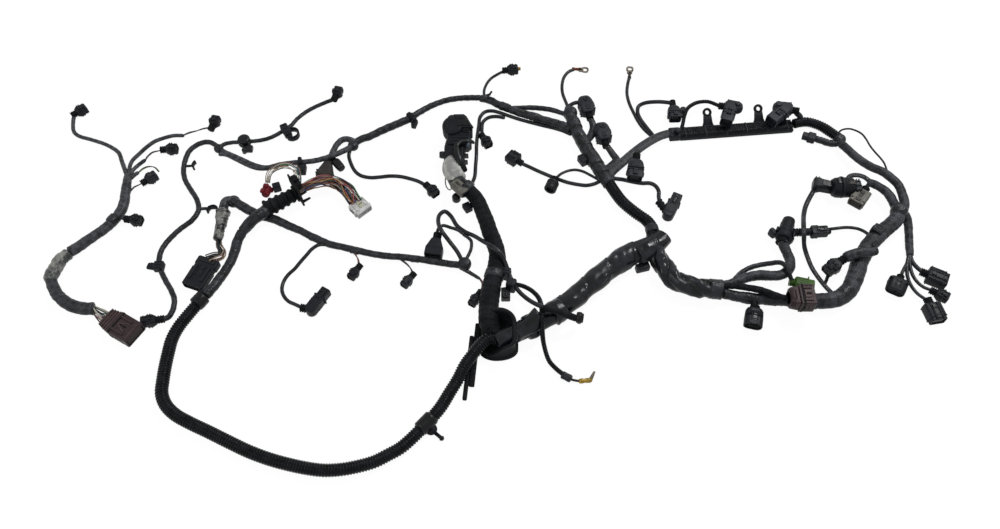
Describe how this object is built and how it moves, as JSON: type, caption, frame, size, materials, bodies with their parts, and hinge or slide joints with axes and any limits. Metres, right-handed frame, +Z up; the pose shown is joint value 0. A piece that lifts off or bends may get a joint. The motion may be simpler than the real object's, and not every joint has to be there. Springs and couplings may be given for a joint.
{
  "type": "vehicle wiring harness",
  "caption": "Taped vehicle wiring harness with branching looms, a corrugated conduit loop, a grommet shell, a clip rail and sealed plugs on its branch ends.",
  "frame": {"origin": "centre of the bounding box on the table that the harness lies on", "axes": "+X along the harness's long extent, from the left sub-harness to the right-hand plugs; +Y away from the viewer of the picture; +Z up from the table"},
  "size_m": [1.3329, 0.71, 0.051],
  "materials": {
    "black_tape": "wound PVC and cloth loom tape, slightly creased",
    "black_conduit": "corrugated polyamide tube with a soft sheen",
    "black_plastic": "moulded glass-filled housing, semi-matt",
    "black_rubber": "moulded rubber, dull",
    "brown_plastic": "moulded brown housing",
    "green_plastic": "moulded green housing",
    "white_plastic": "moulded off-white housing",
    "grey_plastic": "moulded grey housing",
    "grey_sleeve": "aged plastic sleeving",
    "white_sleeve": "soft white sleeve, bare",
    "tinned_copper": "tinned copper crimp"
  },
  "bodies": {
    "root": {"plug_brown_left": "brown_plastic", "plug_cam": "black_plastic", "plug_left_2": "black_plastic", "plug_left_3": "black_plastic", "plug_left_4": "grey_plastic", "plug_left_5": "black_plastic", "plug_sensor": "black_plastic", "plug_branch": "black_plastic", "plug_amber": "black_plastic", "plug_side": "black_plastic", "plug_mid_lead": "black_plastic", "plug_control_unit": "black_plastic", "grommet_shell": "black_rubber", "plug_white": "white_plastic", "plug_flat": "black_plastic", "plug_elbow": "black_plastic", "plug_injector_1": "black_plastic", "plug_injector_2": "black_plastic", "plug_injector_3": "black_plastic", "plug_boot": "black_plastic", "plug_low": "black_plastic", "plug_green": "green_plastic", "plug_brown_right": "brown_plastic", "sensor_right": "black_plastic", "plug_arm": "black_plastic", "plug_grey": "grey_plastic", "plug_ribbed": "black_plastic", "plug_oval": "black_plastic", "plug_end_1": "black_plastic", "plug_end_2": "black_plastic", "plug_end_3": "black_plastic", "plug_rail_1": "black_plastic", "plug_rail_2": "black_plastic", "plug_rail_3": "black_plastic", "plug_middle_1": "black_plastic", "plug_middle_2": "black_plastic", "plug_middle_3": "black_plastic", "plug_square": "black_plastic", "plug_round": "black_plastic", "plug_corner": "black_plastic", "ring_terminal_1": "tinned_copper", "ring_terminal_2": "tinned_copper", "rail": "black_plastic", "ribbed_boot": "black_rubber", "label_sleeve": "white_sleeve", "control_loom": "black_tape", "loop_conduit": "black_conduit", "foil_trunk": "black_tape", "right_trunk": "black_tape", "centre_trunk": "black_tape", "cross_loom": "black_tape", "left_loom": "black_tape", "left_sleeves": "grey_sleeve", "sensor_loom": "black_tape", "upper_loom": "black_tape", "injector_loom": "black_tape", "dash_loom": "black_tape", "colour_bundle": "black_tape", "loop_lead": "black_tape", "ground_lead": "black_tape"}
  },
  "joints": []
}
